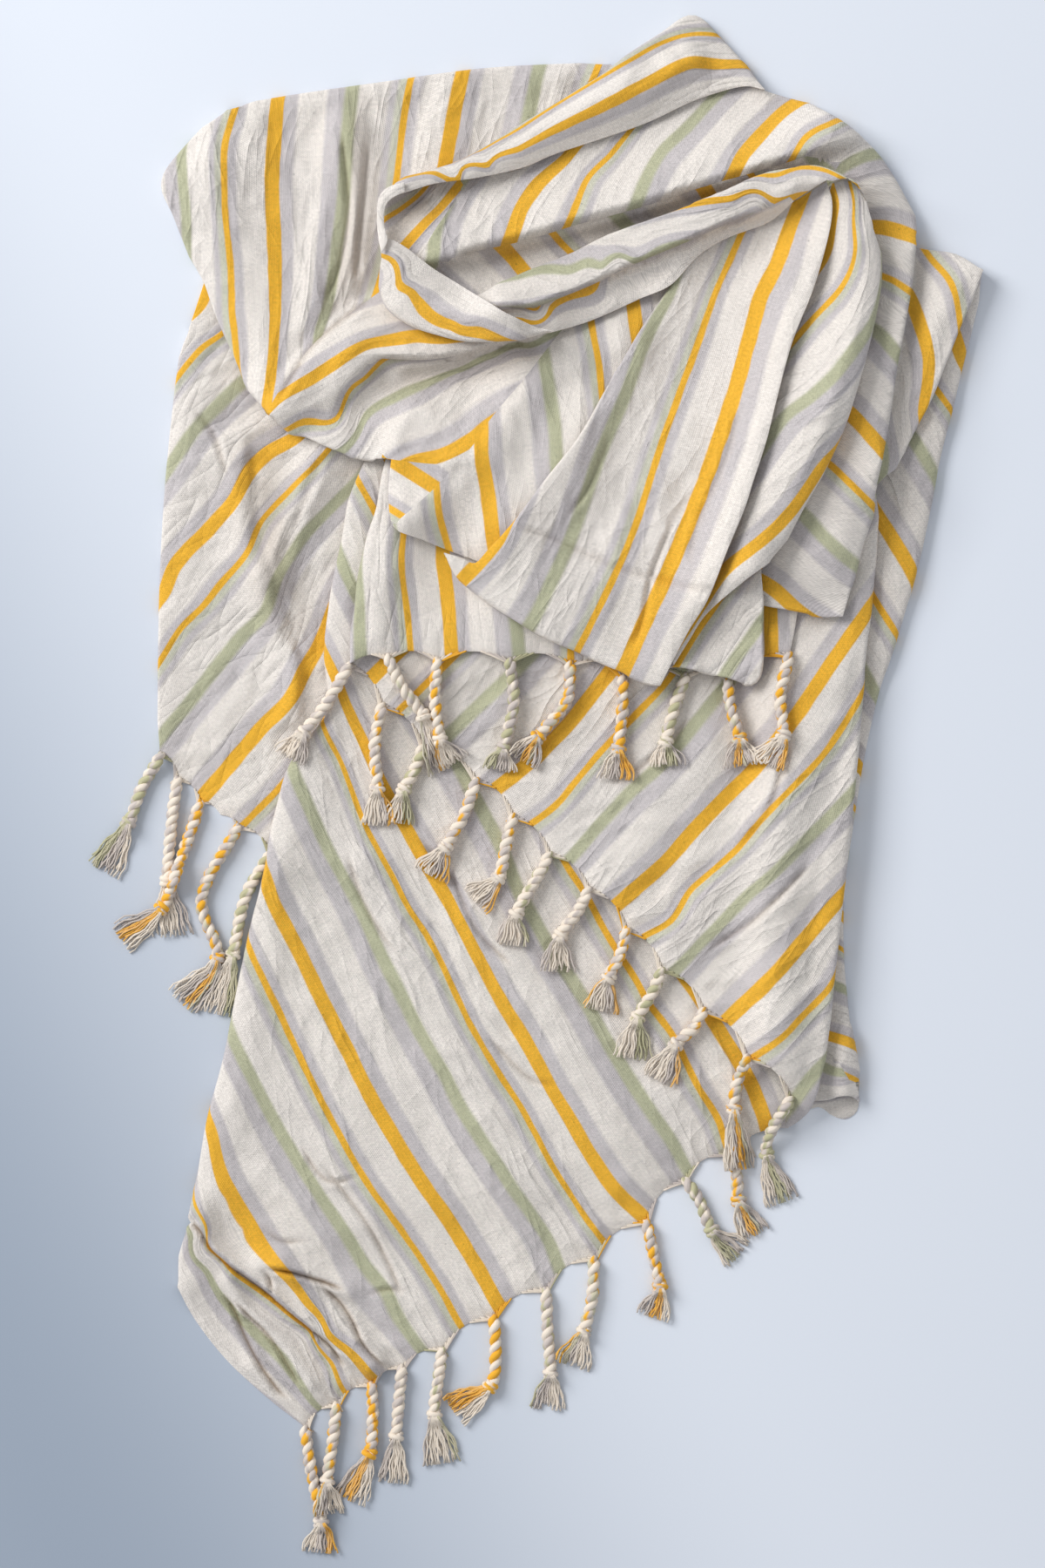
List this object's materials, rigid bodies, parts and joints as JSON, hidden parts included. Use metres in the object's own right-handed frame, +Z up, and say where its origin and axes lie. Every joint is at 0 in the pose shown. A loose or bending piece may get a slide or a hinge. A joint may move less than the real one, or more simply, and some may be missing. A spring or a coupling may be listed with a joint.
{
  "type": "hammam towel",
  "caption": "Striped flat-woven cotton towel with knotted twisted fringe, dropped in a loose folded heap.",
  "frame": {"origin": "on the supporting surface, under the middle of the heap", "axes": "+Z up, +Y from the front fringe to the rounded top of the heap, +X to the right"},
  "size_m": [0.7142, 1.2322, 0.0676],
  "materials": {
    "cloth": "matt flat-woven cotton, striped yellow, grey and sage on cream",
    "twist": "matt twisted cotton yarn"
  },
  "bodies": {
    "root": {"towel": "cloth", "fringe_wing": "twist", "fringe_front": "twist", "fringe_diagonal": "twist", "fringe_middle": "twist"}
  },
  "joints": []
}
